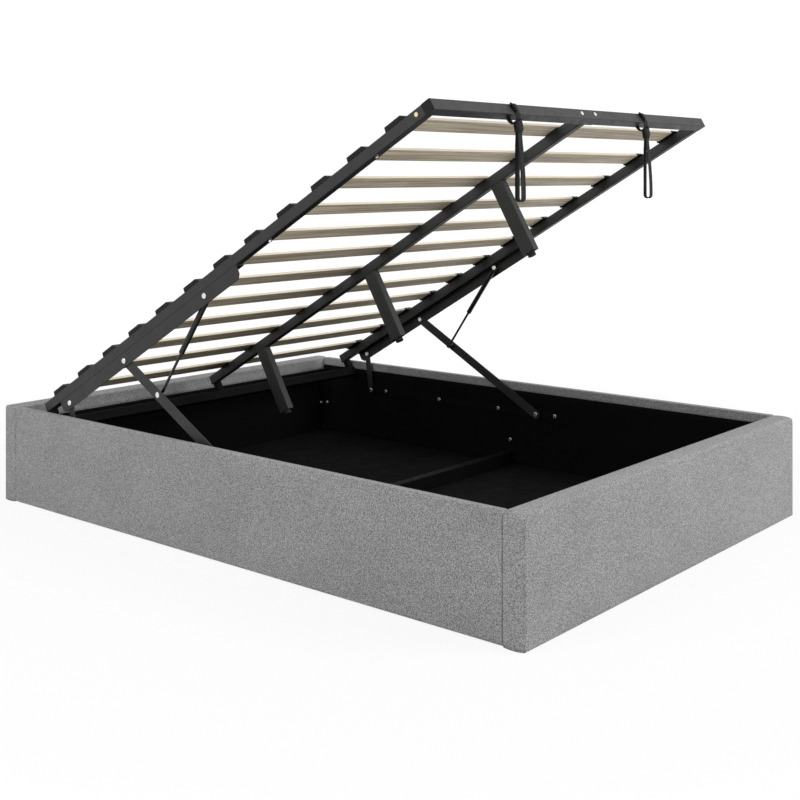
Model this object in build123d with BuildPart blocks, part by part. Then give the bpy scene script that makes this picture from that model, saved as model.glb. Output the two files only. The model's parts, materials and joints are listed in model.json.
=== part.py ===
"""Ottoman storage bed: an upholstered box whose slatted frame lifts on a sprung linkage.

The frame stands open, as it is stored. X runs across the bed, -X is the left side seen from the
foot, Y runs from the foot (-Y) to the head (+Y), and Z is up from the ground under the middle of
the box. Left pieces are modelled and their right twins are mirrored.

Pieces of the lifting frame are placed in the deck plane: local X across, local Y from the foot
end towards the head, local Z up out of the slats. "Drop" is a distance below the top of its tubes.
"Depth" is a distance inwards from the outer face of a side rail.
"""

import os
from math import acos, atan2, cos, degrees, hypot, radians, sin, sqrt

from build123d import *

os.makedirs("parts", exist_ok=True)

# Box
bed_length = 2000.0
bed_width = 1430.0
bed_height = 300.0
board_thickness = 60.0
rail_thickness = 22.0
glide_height = 2.0
rail_lift = 4.0
board_corner_radius = 18.0
board_edge_radius = 6.0
board_padding = 8.0
rail_padding = 3.0
rail_edge_radius = 2.0
lining_thickness = 2.0
board_turnover = 45.0
rail_turnover = 28.0
glide_radius = 12.0
glide_place_shares = (-0.45, -0.15, 0.15, 0.45)

# Floor of the box
floor_top = 12.0
floor_thickness = 6.0
floor_gap = 0.5
ledge_thickness = 5.0
ledge_width = 20.0
divider_y = 27.0
divider_width = 30.0
divider_height = 45.0
divider_wall = 2.0
divider_plate_width = 44.0
divider_plate_top = 112.0
divider_bolt_height = 95.0

# Corner brackets
bracket_bottom = 59.0
bracket_top = 191.0
bracket_leg = 40.0
bracket_thickness = 3.0
bracket_bolt_height = 122.0

# Bolts and rivets
bolt_head_radius = 7.0
bolt_head_height = 3.0
bolt_shank_radius = 4.0
small_bolt_radius = 6.0
small_shank_radius = 3.0
nut_radius = 5.0
nut_height = 4.0
head_rim = 1.0
pin_radius = 5.0
pin_clearance = 0.06
rivet_head_radius = 8.0
rivet_head_height = 3.0
spacer_radius = 7.5
side_gap = 0.3

# Lifting frame, open, set back from the head board and raised above the box
deck_tilt = 30.1
deck_head_setback = 112.8
deck_head_rise = 21.3
deck_end_allowance = 102.0
deck_margin = 30.0
deck_recess = 22.0
tube_height = 30.5
tube_wall = 2.0
tube_corner = 2.5
side_tube_width = 25.0
foot_tube_width = 30.0
centre_tube_width = 25.0
head_tube_width = 30.0
head_tube_height = 30.0
head_tube_drop = 64.0
head_post_width = 20.0
plug_length = 12.0
plug_face = 1.5
end_plate_length = 100.0
end_plate_thickness = 3.0
end_plate_margin = 1.5
end_bolt_spread = 34.0
end_bolt_drop = 15.0
corner_bolt_along = 52.0
corner_bolt_drop = 14.0
under_nut_shares = (0.278, 0.825)

# Slats and their holders
slat_count = 12
slat_foot_inset = 121.5
slat_head_inset = 94.5
slat_width = 53.0
slat_thickness = 8.0
slat_edge_radius = 1.5
slat_rise = 2.0
slat_inset = 8.0
cap_height = 12.0
cap_depth = 36.0
cap_foot_reach = 38.0
cap_head_reach = 34.0
cap_foot_slope = 14.0
cap_head_slope = 2.0
cap_side_clearance = 0.2
cap_top_clearance = 0.3
pad_length = 45.0

# Centre legs
leg_place_shares = (0.201, 0.52, 0.838)
leg_width = 25.0
leg_depth = 45.0
leg_wall = 2.0
leg_glide_radius = 12.0
leg_glide_height = 11.4
leg_glide_plug = 10.0
leg_floor_gap = 0.6

# Linkage
lower_pivot_recess = 100.0
pivot_drop = 52.0
rear_pivot_inset = 123.0
arm_spacing = 307.0
front_arm_run = 518.1
strut_pivot_drop = 46.0
strut_reach = 411.0
strut_foot_share = 0.716
angle_foot_reach = 154.0
angle_tail = 42.0
angle_thickness = 3.0
angle_lower_drop = 69.0
angle_flange_width = 30.0
angle_chamfer = 12.0
plate_thickness = 3.0
plate_height = 26.0
plate_foot_reach = 131.0
plate_head_reach = 30.0
plate_corner_radius = 8.0
plate_bolt_shares = (0.065, 0.324, 0.614, 0.897)
arm_gap = 0.6
arm_thickness = 4.0
front_arm_width = 30.0
rear_arm_width = 22.0

# Gas struts
strut_clearance = 2.4
cylinder_radius = 8.2
cylinder_share = 0.57
cylinder_wall = 1.5
rod_radius = 4.0
rod_clearance = 0.3
guide_length = 10.0
eye_radius = 10.0
eye_thickness = 10.0
neck_radius = 4.4
neck_length = 18.0
stud_cap_height = 2.0

# Lifting straps
left_strap_offset = 347.0
right_strap_offset = 304.0
strap_fall = 22.5
webbing_width = 20.0
webbing_thickness = 2.2
hitch_eye_radius = 0.8
knot_width = 25.0
knot_depth = 15.0
knot_height = 22.0
knot_radius = 5.0
loop_length = 177.0
loop_radius = 10.0
loop_neck = 3.6
loop_start_gap = 0.8

# Values that follow from the sizes above
half_width = bed_width / 2
half_length = bed_length / 2
inner_half_width = half_width - rail_thickness
inner_half_length = half_length - board_thickness
tilt = radians(deck_tilt)
deck_half_width = half_width - deck_margin
deck_length = bed_length - 2 * board_thickness - deck_end_allowance
deck_foot_y = inner_half_length - deck_head_setback - deck_length * cos(tilt)
deck_foot_z = bed_height + deck_head_rise + deck_length * sin(tilt)
deck_closed_top = bed_height - deck_recess
slat_pitch = (deck_length - slat_foot_inset - slat_head_inset) / (slat_count - 1)
plate_depth = rail_thickness + plate_thickness
angle_depth = deck_margin + angle_thickness
arm_depth = angle_depth + arm_gap
arm_inner_depth = arm_depth + arm_thickness
strut_depth = arm_inner_depth + strut_clearance + cylinder_radius
leg_places = [share * deck_length for share in leg_place_shares]
leg_drop = deck_closed_top - floor_top - leg_floor_gap
leg_end_drop = leg_drop - leg_glide_height

deck = Plane(
    origin=(0, deck_foot_y, deck_foot_z),
    x_dir=(1, 0, 0),
    z_dir=(0, sin(tilt), cos(tilt)),
)


def deck_point(across, along, drop):
    """World place of a point that lies in the open frame."""
    return deck.from_local_coords((across, along, -drop))


rear_pivot_along = deck_length - rear_pivot_inset
front_pivot_along = rear_pivot_along - arm_spacing
strut_pivot_along = front_pivot_along - strut_reach
angle_foot_along = strut_pivot_along - angle_foot_reach
front_top = deck_point(0, front_pivot_along, pivot_drop)
rear_top = deck_point(0, rear_pivot_along, pivot_drop)
strut_top = deck_point(0, strut_pivot_along, strut_pivot_drop)

# The front arm's length carries the frame from its open place to its closed one
lower_pivot_z = bed_height - lower_pivot_recess
front_pivot_y = front_top.Y - front_arm_run
front_rise = front_top.Z - lower_pivot_z
front_arm_length = hypot(front_arm_run, front_rise)
front_angle = degrees(atan2(front_rise, front_arm_run))
closed_rise = deck_closed_top - pivot_drop - lower_pivot_z
closed_front_y = front_pivot_y + sqrt(front_arm_length**2 - closed_rise**2)
closed_foot_y = closed_front_y - front_pivot_along

# The rear lower pivot lies as far from the open rear pivot as from the closed one
closed_rear_y = closed_foot_y + rear_pivot_along
rear_rise = rear_top.Z - lower_pivot_z
rear_pivot_y = (closed_rear_y**2 - rear_top.Y**2 + closed_rise**2 - rear_rise**2) / (
    2 * (closed_rear_y - rear_top.Y)
)
rear_arm_length = hypot(rear_top.Y - rear_pivot_y, rear_rise)
rear_angle = degrees(atan2(rear_rise, rear_top.Y - rear_pivot_y))

strut_foot_y = front_pivot_y + strut_foot_share * (front_top.Y - front_pivot_y)
strut_foot_z = lower_pivot_z + strut_foot_share * front_rise
strut_length = hypot(strut_top.Y - strut_foot_y, strut_top.Z - strut_foot_z)
strut_angle = degrees(atan2(strut_top.Z - strut_foot_z, strut_top.Y - strut_foot_y))
cylinder_length = cylinder_share * strut_length

# A strap leaves the foot tube at its lower front corner and hangs plumb from there
strap_pivot = deck_point(0, 0, tube_height) - Vector(0, webbing_thickness / 2, strap_fall)
hitch_eye_rise = knot_depth / 2 + side_gap + webbing_thickness + hitch_eye_radius

plate_foot_y = front_pivot_y - plate_foot_reach
plate_head_y = rear_pivot_y + plate_head_reach
plate_length = plate_head_y - plate_foot_y

print("front arm", front_arm_length, front_angle, "rear arm", rear_arm_length, rear_angle)
print("closed foot end", closed_foot_y, "rear pivot", rear_pivot_y)
print("strut", strut_length, strut_angle, "strap pivot", strap_pivot)


def save_piece(piece, name):
    """Label a finished piece and write its file."""
    piece.part.label = name
    export_step(piece.part, f"parts/{name}.step")


def save_pair(left, name):
    """Write a left piece and its right twin."""
    with BuildPart() as right:
        mirror(left.part, about=Plane.YZ)
    save_piece(left, f"{name}_left")
    save_piece(right, f"{name}_right")


def save_both_sides(left, name):
    """Write one node that holds left solids and their right twins."""
    with BuildPart() as both:
        add(left.part)
        mirror(left.part, about=Plane.YZ)
    save_piece(both, name)


def side_plane(depth, y, z, angle=0.0):
    """Plane at a depth inside the left rail, facing inwards, its X at an angle above level."""
    turn = radians(angle)
    return Plane(
        origin=(depth - half_width, y, z),
        x_dir=(0, cos(turn), sin(turn)),
        z_dir=(1, 0, 0),
    )


def deck_side_plane(depth, along, drop):
    """Plane at a depth inside the left rail, in line with the open frame."""
    place = deck_point(depth - half_width, along, drop)
    return Plane(origin=place, x_dir=deck.y_dir, z_dir=(1, 0, 0))


def deck_end_plane(across, along, drop):
    """Plane across the open frame, facing its head end."""
    return Plane(origin=deck_point(across, along, drop), x_dir=(1, 0, 0), z_dir=deck.y_dir)


def box_between(low, high, mode=Mode.ADD):
    """Block between two opposite corners."""
    size = [b - a for a, b in zip(low, high)]
    with Locations(tuple((a + b) / 2 for a, b in zip(low, high))):
        Box(*size, mode=mode)


def disc(plane, radius, start, end):
    """Round solid on a plane's normal, between two heights."""
    with BuildSketch(plane.offset(start)) as circle:
        Circle(radius)
    extrude(circle.sketch, amount=end - start)


def domed_head(plane, radius, start, height):
    """Round head whose free rim is eased."""
    disc(plane, radius, start, start + height - head_rim)
    with BuildSketch(plane.offset(start + height - head_rim)) as rim:
        Circle(radius)
    extrude(rim.sketch, amount=head_rim, taper=45)


def tube(plane, width, height, length, wall):
    """Rectangular tube with eased corners, centred on a plane and running along its normal."""
    with BuildSketch(plane) as section:
        RectangleRounded(width, height, tube_corner)
        Rectangle(width - 2 * wall, height - 2 * wall, mode=Mode.SUBTRACT)
    extrude(section.sketch, amount=length)


# Padded covers, cores and linings of the two end boards

pocket_front = -half_length + board_padding
pocket_back = -inner_half_length - lining_thickness
board_lining_low = (-inner_half_width, -inner_half_length - lining_thickness, glide_height)
board_lining_high = (inner_half_width, -inner_half_length, bed_height - board_turnover)


def board_block(inset, radius, plane_y, depth):
    """Block of an end board, its two top corners rounded."""
    width = bed_width - 2 * inset
    height = bed_height - inset - glide_height
    middle = glide_height + height / 2
    face = Plane(origin=(0, plane_y, middle), x_dir=(1, 0, 0), z_dir=(0, 1, 0))
    with BuildSketch(face) as outline:
        Rectangle(width, height)
        fillet(outline.vertices().group_by(Axis.Y)[0], radius)
    extrude(outline.sketch, amount=depth)


with BuildPart() as foot_board_core:
    core_radius = board_corner_radius - board_padding
    board_block(board_padding, core_radius, pocket_front, pocket_back - pocket_front)

with BuildPart() as foot_board_cover:
    board_block(0, board_corner_radius, -half_length, board_thickness)
    outer_edges = foot_board_cover.faces().sort_by(Axis.Y)[0].edges()
    fillet(outer_edges.sort_by(Axis.Z)[1:], board_edge_radius)
    add(foot_board_core.part, mode=Mode.SUBTRACT)
    box_between(board_lining_low, board_lining_high, mode=Mode.SUBTRACT)

with BuildPart() as head_board_core:
    mirror(foot_board_core.part, about=Plane.XZ)

with BuildPart() as head_board_cover:
    mirror(foot_board_cover.part, about=Plane.XZ)

save_piece(foot_board_core, "foot_board_core")
save_piece(foot_board_cover, "foot_board_cover")
save_piece(head_board_core, "head_board_core")
save_piece(head_board_cover, "head_board_cover")

# Side rails between the boards

core_low = (-half_width + rail_padding, -inner_half_length, rail_lift)
core_high = (-inner_half_width - lining_thickness, inner_half_length, bed_height - rail_padding)
rail_lining_low = (-inner_half_width - lining_thickness, -inner_half_length, rail_lift)
rail_lining_high = (-inner_half_width, inner_half_length, bed_height - rail_turnover)

with BuildPart() as side_rail_core:
    box_between(core_low, core_high)

with BuildPart() as side_rail_cover:
    box_between(
        (-half_width, -inner_half_length, rail_lift),
        (-inner_half_width, inner_half_length, bed_height),
    )
    long_edges = side_rail_cover.edges().filter_by(Axis.Y)
    fillet(long_edges.group_by(Axis.Z)[-1], rail_edge_radius)
    box_between(core_low, core_high, mode=Mode.SUBTRACT)
    box_between(rail_lining_low, rail_lining_high, mode=Mode.SUBTRACT)

save_pair(side_rail_core, "side_rail_core")
save_pair(side_rail_cover, "side_rail_cover")

with BuildPart() as inner_linings:
    box_between(board_lining_low, board_lining_high)
    mirror(about=Plane.XZ)
    box_between(rail_lining_low, rail_lining_high)
    with BuildPart(mode=Mode.PRIVATE) as left_lining:
        box_between(rail_lining_low, rail_lining_high)
    mirror(left_lining.part, about=Plane.YZ)

save_piece(inner_linings, "inner_linings")

with BuildPart() as board_glides:
    for share in glide_place_shares:
        for end in (-1, 1):
            middle_y = end * (half_length - board_thickness / 2)
            disc(Plane(origin=(share * bed_width, middle_y, 0)), glide_radius, 0, glide_height)

save_piece(board_glides, "board_glides")

# Floor of the storage space

ledge_low = floor_top - floor_thickness - ledge_thickness
ledge_high = floor_top - floor_thickness
ledge_inner = inner_half_width - ledge_width

with BuildPart() as floor_ledges:
    box_between(
        (-inner_half_width, -inner_half_length, ledge_low),
        (-ledge_inner, inner_half_length, ledge_high),
    )
    mirror(about=Plane.YZ)
    end_ledge_y = inner_half_length - ledge_width / 2
    for middle_y in (-end_ledge_y, divider_y, end_ledge_y):
        box_between(
            (floor_gap - ledge_inner, middle_y - ledge_width / 2, ledge_low),
            (ledge_inner - floor_gap, middle_y + ledge_width / 2, ledge_high),
        )

save_piece(floor_ledges, "floor_ledges")

panel_half_width = inner_half_width - floor_gap

with BuildPart() as floor_panel_foot:
    box_between(
        (-panel_half_width, -inner_half_length + floor_gap, ledge_high),
        (panel_half_width, divider_y - floor_gap, floor_top),
    )

with BuildPart() as floor_panel_head:
    box_between(
        (-panel_half_width, divider_y + floor_gap, ledge_high),
        (panel_half_width, inner_half_length - floor_gap, floor_top),
    )

save_piece(floor_panel_foot, "floor_panel_foot")
save_piece(floor_panel_head, "floor_panel_head")

divider_half_length = inner_half_width - bracket_thickness

with BuildPart() as floor_divider:
    middle_z = floor_top + divider_height / 2
    left_end = Plane(
        origin=(-divider_half_length, divider_y, middle_z),
        x_dir=(0, 1, 0),
        z_dir=(1, 0, 0),
    )
    tube(left_end, divider_width, divider_height, 2 * divider_half_length, divider_wall)

save_piece(floor_divider, "floor_divider")

# Brackets that hold the box together, each drilled for its bolts

with BuildPart() as divider_bracket:
    plate_middle = (floor_top + divider_plate_top) / 2
    with BuildSketch(side_plane(rail_thickness, divider_y, plate_middle)):
        RectangleRounded(divider_plate_width, divider_plate_top - floor_top, plate_corner_radius / 2)
        with Locations((0, divider_bolt_height - plate_middle)):
            Circle(bolt_shank_radius, mode=Mode.SUBTRACT)
    extrude(amount=bracket_thickness)

save_both_sides(divider_bracket, "divider_brackets")

corner_x = -inner_half_width
corner_y = -inner_half_length
rail_bolt_plane = side_plane(rail_thickness, corner_y + bracket_leg / 2, bracket_bolt_height)
board_bolt_plane = Plane(
    origin=(corner_x + bracket_leg / 2, corner_y, bracket_bolt_height),
    x_dir=(1, 0, 0),
    z_dir=(0, 1, 0),
)

with BuildPart() as corner_bracket:
    box_between(
        (corner_x, corner_y, bracket_bottom),
        (corner_x + bracket_leg, corner_y + bracket_leg, bracket_top),
    )
    box_between(
        (corner_x + bracket_thickness, corner_y + bracket_thickness, bracket_bottom),
        (corner_x + bracket_leg, corner_y + bracket_leg, bracket_top),
        mode=Mode.SUBTRACT,
    )
    for plane in (rail_bolt_plane, board_bolt_plane):
        with BuildSketch(plane):
            Circle(bolt_shank_radius)
        extrude(amount=bracket_thickness, mode=Mode.SUBTRACT)
    mirror(about=Plane.XZ)

save_both_sides(corner_bracket, "corner_brackets")

plate_bolt_places = [plate_foot_y + share * plate_length for share in plate_bolt_shares]

with BuildPart() as base_bolts:
    for plane in (rail_bolt_plane, board_bolt_plane):
        disc(plane, bolt_shank_radius, 0, bracket_thickness)
        domed_head(plane, bolt_head_radius, bracket_thickness, bolt_head_height)
    mirror(about=Plane.XZ)
    rail_planes = [side_plane(rail_thickness, y, lower_pivot_z) for y in plate_bolt_places]
    rail_planes.append(side_plane(rail_thickness, divider_y, divider_bolt_height))
    for plane in rail_planes:
        disc(plane, bolt_shank_radius, 0, plate_thickness)
        domed_head(plane, bolt_head_radius, plate_thickness, bolt_head_height)

save_both_sides(base_bolts, "base_bolts")

# Lower plates on the rails and the pins that the arms turn on

with BuildPart() as lower_plate:
    plate_middle_y = (plate_foot_y + plate_head_y) / 2
    with BuildSketch(side_plane(rail_thickness, plate_middle_y, lower_pivot_z)):
        RectangleRounded(plate_length, plate_height, plate_corner_radius)
        with Locations([(y - plate_middle_y, 0) for y in plate_bolt_places]):
            Circle(bolt_shank_radius, mode=Mode.SUBTRACT)
        with Locations([(y - plate_middle_y, 0) for y in (front_pivot_y, rear_pivot_y)]):
            Circle(pin_radius, mode=Mode.SUBTRACT)
    extrude(amount=plate_thickness)

save_pair(lower_plate, "lower_plate")

with BuildPart() as lower_pins:
    front_plane = side_plane(0, front_pivot_y, lower_pivot_z)
    rear_plane = side_plane(0, rear_pivot_y, lower_pivot_z)
    for plane in (front_plane, rear_plane):
        disc(plane, pin_radius, rail_thickness, plate_depth)
        disc(plane, spacer_radius, plate_depth, arm_depth - side_gap)
    disc(front_plane, pin_radius, plate_depth, arm_inner_depth + side_gap)
    domed_head(front_plane, rivet_head_radius, arm_inner_depth + side_gap, rivet_head_height)

save_both_sides(lower_pins, "lower_pivot_pins")

# Arms of the linkage, flat bars with a pivot hole at each end


def flat_arm(y, angle, length, width, hole_places):
    """Flat bar with round ends, laid from its lower pivot, with running holes for its pins."""
    plane = side_plane(arm_depth, y, lower_pivot_z, angle)
    with BuildSketch(plane) as bar:
        with Locations((length / 2, 0)):
            SlotCenterToCenter(length, width)
        with Locations([(place, 0) for place in hole_places]):
            Circle(pin_radius + pin_clearance, mode=Mode.SUBTRACT)
    extrude(bar.sketch, amount=arm_thickness)
    return plane


strut_foot_along_arm = strut_foot_share * front_arm_length

with BuildPart() as front_arm:
    arm_plane = flat_arm(
        front_pivot_y, front_angle, front_arm_length, front_arm_width, (0, front_arm_length)
    )
    with BuildSketch(arm_plane):
        with Locations((strut_foot_along_arm, 0)):
            Circle(rivet_head_radius)
    extrude(amount=arm_thickness, mode=Mode.SUBTRACT)

save_pair(front_arm, "front_arm")

with BuildPart() as lower_strut_stud:
    plane = side_plane(0, strut_foot_y, strut_foot_z)
    disc(plane, rivet_head_radius, arm_depth, arm_inner_depth)
    disc(plane, spacer_radius, arm_inner_depth, strut_depth - eye_thickness / 2 - side_gap)

save_both_sides(lower_strut_stud, "lower_strut_studs")

with BuildPart() as rear_arm:
    arm_plane = flat_arm(
        rear_pivot_y, rear_angle, rear_arm_length, rear_arm_width, (rear_arm_length,)
    )
    with BuildSketch(arm_plane):
        Circle(pin_radius)
    extrude(amount=arm_thickness, mode=Mode.SUBTRACT)

save_pair(rear_arm, "rear_arm")

with BuildPart() as rear_arm_stud:
    plane = side_plane(0, rear_pivot_y, lower_pivot_z)
    disc(plane, pin_radius, arm_depth, arm_inner_depth)
    domed_head(plane, rivet_head_radius, arm_inner_depth, rivet_head_height)

save_both_sides(rear_arm_stud, "rear_arm_studs")

# Gas struts, each a cylinder hung from the frame and a rod that slides into it

strut_direction = Vector(0, cos(radians(strut_angle)), sin(radians(strut_angle)))
eye_seat = (pin_radius + eye_radius) / 2
upper_eye_centre = Vector(strut_depth - half_width, strut_top.Y, strut_top.Z)
lower_eye_centre = Vector(strut_depth - half_width, strut_foot_y, strut_foot_z)


def strut_eye(centre):
    """Round eye, its flat faces square to the pivot."""
    plane = Plane(origin=centre, x_dir=strut_direction, z_dir=(1, 0, 0))
    disc(plane, eye_radius, -eye_thickness / 2, eye_thickness / 2)


with BuildPart() as strut_cylinder:
    down_strut = Plane(origin=upper_eye_centre, x_dir=(1, 0, 0), z_dir=-strut_direction)
    strut_eye(upper_eye_centre)
    disc(down_strut, neck_radius, eye_seat, neck_length)
    disc(down_strut, cylinder_radius, neck_length, cylinder_length)
    with BuildSketch(down_strut.offset(neck_length + cylinder_wall)):
        Circle(cylinder_radius - cylinder_wall)
    extrude(
        amount=cylinder_length - neck_length - cylinder_wall - guide_length,
        mode=Mode.SUBTRACT,
    )
    with BuildSketch(down_strut.offset(cylinder_length - guide_length - cylinder_wall)):
        Circle(rod_radius + rod_clearance)
    extrude(amount=guide_length + 2 * cylinder_wall, mode=Mode.SUBTRACT)
    with BuildSketch(side_plane(strut_depth - eye_thickness, strut_top.Y, strut_top.Z)):
        Circle(pin_radius + pin_clearance)
    extrude(amount=2 * eye_thickness, mode=Mode.SUBTRACT)

save_pair(strut_cylinder, "strut_cylinder")

rod_length = strut_length - cylinder_length + guide_length + cylinder_radius

with BuildPart() as strut_rod:
    up_strut = Plane(origin=lower_eye_centre, x_dir=(1, 0, 0), z_dir=strut_direction)
    strut_eye(lower_eye_centre)
    disc(up_strut, neck_radius, eye_seat, neck_length)
    disc(up_strut, rod_radius, neck_length, rod_length)
    disc(
        side_plane(strut_depth, strut_foot_y, strut_foot_z),
        rivet_head_radius,
        eye_thickness / 2,
        eye_thickness / 2 + stud_cap_height,
    )

save_pair(strut_rod, "strut_rod")

# Tubes of the lifting frame

side_tube_depth = deck_margin + side_tube_width / 2
side_tube_x = side_tube_depth - half_width
tube_end = deck_half_width - plug_face
foot_plane = Plane(
    origin=deck_point(-tube_end, foot_tube_width / 2, tube_height / 2),
    x_dir=deck.y_dir,
    z_dir=(1, 0, 0),
)

with BuildPart() as foot_tube:
    tube(foot_plane, foot_tube_width, tube_height, 2 * tube_end, tube_wall)
    for side in (-1, 1):
        with BuildSketch(deck_end_plane(side * end_bolt_spread, 0, end_bolt_drop)):
            Circle(small_shank_radius)
        extrude(amount=foot_tube_width, mode=Mode.SUBTRACT)

save_piece(foot_tube, "foot_tube")

side_tube_length = deck_length - foot_tube_width - plug_face

with BuildPart() as side_tube:
    tube(
        deck_end_plane(side_tube_x, foot_tube_width, tube_height / 2),
        side_tube_width,
        tube_height,
        side_tube_length,
        tube_wall,
    )

save_pair(side_tube, "side_tube")

with BuildPart() as centre_tube:
    tube(
        deck_end_plane(0, foot_tube_width, tube_height / 2),
        centre_tube_width,
        tube_height,
        side_tube_length,
        tube_wall,
    )
    with BuildSketch(deck_end_plane(0, foot_tube_width, tube_height / 2)):
        Rectangle(end_plate_length, tube_height - 2 * end_plate_margin)
        bolt_y = end_bolt_drop - tube_height / 2
        with Locations((-end_bolt_spread, bolt_y), (end_bolt_spread, bolt_y)):
            Circle(small_shank_radius, mode=Mode.SUBTRACT)
    extrude(amount=end_plate_thickness)

save_piece(centre_tube, "centre_tube")

head_tube_along = deck_length - head_tube_width / 2
head_tube_middle = head_tube_drop + head_tube_height / 2
lengthwise_tubes = (
    (side_tube_x, side_tube_width),
    (0, centre_tube_width),
    (-side_tube_x, side_tube_width),
)

with BuildPart() as head_tube:
    head_plane = Plane(
        origin=deck_point(-tube_end, head_tube_along, head_tube_middle),
        x_dir=deck.y_dir,
        z_dir=(1, 0, 0),
    )
    tube(head_plane, head_tube_width, head_tube_height, 2 * tube_end, tube_wall)
    with BuildSketch(deck.offset(-head_tube_drop)):
        with Locations([(across, head_tube_along) for across, width in lengthwise_tubes]):
            Rectangle(head_post_width, head_post_width)
    extrude(amount=head_tube_drop - tube_height)

save_piece(head_tube, "head_tube")


def end_plug(plane, width, height):
    """Push-in plug: a thin face over the tube's end and a block inside its walls."""
    with BuildSketch(plane) as face:
        RectangleRounded(width, height, tube_corner)
    extrude(face.sketch, amount=plug_face)
    with BuildSketch(plane) as block:
        Rectangle(width - 2 * tube_wall, height - 2 * tube_wall)
    extrude(block.sketch, amount=-plug_length)


cross_tubes = (
    (foot_tube_width / 2, tube_height / 2, foot_tube_width, tube_height),
    (head_tube_along, head_tube_middle, head_tube_width, head_tube_height),
)

with BuildPart() as tube_plugs:
    for side in (-1, 1):
        for along, drop, width, height in cross_tubes:
            end_plane = Plane(
                origin=deck_point(side * tube_end, along, drop),
                x_dir=deck.y_dir,
                z_dir=(side, 0, 0),
            )
            end_plug(end_plane, width, height)
    for across, width in lengthwise_tubes:
        head_end = deck_end_plane(across, deck_length - plug_face, tube_height / 2)
        end_plug(head_end, width, tube_height)

save_piece(tube_plugs, "tube_plugs")

# Angle irons under the side tubes, which carry the upper pivots

angle_length = rear_pivot_along + angle_tail - angle_foot_along

with BuildPart() as upper_angle:
    with BuildSketch(deck_side_plane(deck_margin, angle_foot_along, 0)):
        with BuildLine():
            Polyline(
                (0, -tube_height),
                (angle_length, -tube_height),
                (angle_length, angle_chamfer - angle_lower_drop),
                (angle_length - angle_chamfer, -angle_lower_drop),
                (angle_chamfer, -angle_lower_drop),
                (0, angle_chamfer - angle_lower_drop),
                close=True,
            )
        make_face()
        pivots = (
            (strut_pivot_along, strut_pivot_drop),
            (front_pivot_along, pivot_drop),
            (rear_pivot_along, pivot_drop),
        )
        with Locations([(along - angle_foot_along, -drop) for along, drop in pivots]):
            Circle(pin_radius, mode=Mode.SUBTRACT)
    extrude(amount=angle_thickness)
    with BuildSketch(deck_side_plane(deck_margin, angle_foot_along, 0)):
        with Locations((angle_length / 2, -tube_height - angle_thickness / 2)):
            Rectangle(angle_length, angle_thickness)
    extrude(amount=angle_flange_width)

save_pair(upper_angle, "upper_angle")

with BuildPart() as upper_rivets:
    for point in (front_top, rear_top, strut_top):
        outward = Plane(
            origin=(deck_margin - half_width, point.Y, point.Z),
            x_dir=(0, 1, 0),
            z_dir=(-1, 0, 0),
        )
        domed_head(outward, rivet_head_radius, 0, rivet_head_height)
    for point in (front_top, rear_top):
        plane = side_plane(0, point.Y, point.Z)
        disc(plane, pin_radius, deck_margin, arm_inner_depth + side_gap)
        domed_head(plane, rivet_head_radius, arm_inner_depth + side_gap, rivet_head_height)
    stud_plane = side_plane(0, strut_top.Y, strut_top.Z)
    eye_start = strut_depth - eye_thickness / 2
    eye_end = strut_depth + eye_thickness / 2
    disc(stud_plane, pin_radius, deck_margin, eye_end + side_gap)
    disc(stud_plane, spacer_radius, angle_depth, eye_start - side_gap)
    domed_head(stud_plane, rivet_head_radius, eye_end + side_gap, stud_cap_height)

save_both_sides(upper_rivets, "upper_pivot_rivets")

# Slats, the plastic caps that hold their ends and the pads on the centre tube

slat_places = [slat_foot_inset + index * slat_pitch for index in range(slat_count)]
slat_half_length = deck_half_width - slat_inset

for number, place in enumerate(slat_places, start=1):
    with BuildPart() as slat:
        with BuildSketch(deck_side_plane(deck_margin + slat_inset, place, 0)):
            with Locations((0, slat_rise + slat_thickness / 2)):
                RectangleRounded(slat_width, slat_thickness, slat_edge_radius)
        extrude(amount=2 * slat_half_length)
    save_piece(slat, f"slat_{number:02d}")

with BuildPart() as slat_caps:
    for place in slat_places:
        with BuildSketch(deck_side_plane(deck_margin, place, 0)):
            with BuildLine():
                Polyline(
                    (-cap_foot_reach, 0),
                    (cap_head_reach, 0),
                    (cap_head_reach - cap_head_slope, cap_height),
                    (cap_foot_slope - cap_foot_reach, cap_height),
                    close=True,
                )
            make_face()
        extrude(amount=cap_depth)
        with BuildSketch(deck_side_plane(deck_margin + slat_inset, place, slat_rise)):
            with Locations((0, 2 * slat_rise + (slat_thickness + cap_top_clearance) / 2)):
                Rectangle(slat_width + 2 * cap_side_clearance, slat_thickness + cap_top_clearance)
        extrude(amount=cap_depth, mode=Mode.SUBTRACT)

save_pair(slat_caps, "slat_caps")

with BuildPart() as centre_slat_pads:
    with BuildSketch(deck):
        with Locations([(0, place) for place in slat_places]):
            Rectangle(centre_tube_width, pad_length)
    extrude(amount=slat_rise)

save_piece(centre_slat_pads, "centre_slat_pads")

# Centre legs, square to the frame, that reach the floor when it is down

with BuildPart() as centre_legs:
    for place in leg_places:
        foot = Plane(
            origin=deck_point(0, place, leg_end_drop),
            x_dir=(1, 0, 0),
            z_dir=deck.z_dir,
        )
        tube(foot, leg_width, leg_depth, leg_end_drop - tube_height, leg_wall)

save_piece(centre_legs, "centre_legs")

with BuildPart() as leg_glides:
    for place in leg_places:
        foot = Plane(origin=deck_point(0, place, leg_drop), x_dir=(1, 0, 0), z_dir=deck.z_dir)
        disc(foot, leg_glide_radius, 0, leg_drop - leg_end_drop)
        with BuildSketch(foot.offset(leg_drop - leg_end_drop)):
            Rectangle(leg_width - 2 * leg_wall, leg_depth - 2 * leg_wall)
        extrude(amount=leg_glide_plug)

save_piece(leg_glides, "leg_glides")

# Bolts and nuts of the lifting frame

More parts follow.
